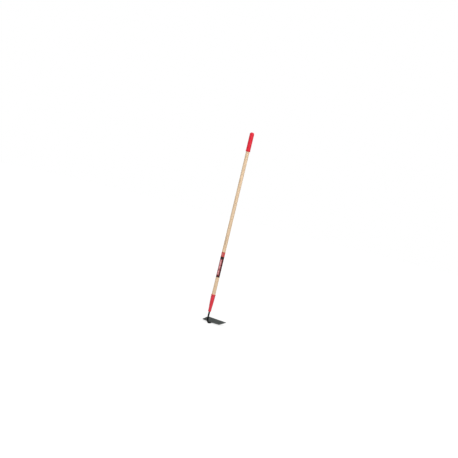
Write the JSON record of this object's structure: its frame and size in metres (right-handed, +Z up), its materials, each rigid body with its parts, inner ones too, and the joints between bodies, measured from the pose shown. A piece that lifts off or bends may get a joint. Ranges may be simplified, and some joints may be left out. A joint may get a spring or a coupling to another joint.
{
  "type": "garden hoe",
  "caption": "Long wooden-handled draw hoe: flat trapezoid blade welded to a bent steel neck, tapered red ferrule and red end grip.",
  "frame": {"origin": "on the handle's axis, halfway along the bare wood between the ferrule's rim and the label, where a rack's spring clip grips", "axes": "+Z up the handle's axis from ferrule to grip; +X from the handle towards the blade's cutting edge; the blade's width runs along Y and the object is symmetric about Y = 0"},
  "size_m": [0.1669, 0.1736, 1.5135],
  "materials": {
    "wood": "clear lacquer over pale ash, fine straight grain",
    "grip_vinyl": "dipped soft red vinyl, slight gloss",
    "label_film": "printed film, satin",
    "ferrule_enamel": "gloss red enamel on pressed steel",
    "rivet_steel": "bright zinc, slightly dulled",
    "neck_enamel": "gloss black enamel on round bar",
    "blade_lacquer": "dark grey satin paint, ground bevel bright"
  },
  "bodies": {
    "root": {"handle": "wood", "end_grip": "grip_vinyl", "label_wrap": "label_film", "ferrule": "ferrule_enamel", "ferrule_rivet": "rivet_steel", "neck": "neck_enamel", "blade": "blade_lacquer", "weld_bead_left": "neck_enamel", "weld_bead_right": "neck_enamel", "weld_bead_toe": "neck_enamel", "weld_bead_back": "neck_enamel"}
  },
  "joints": []
}
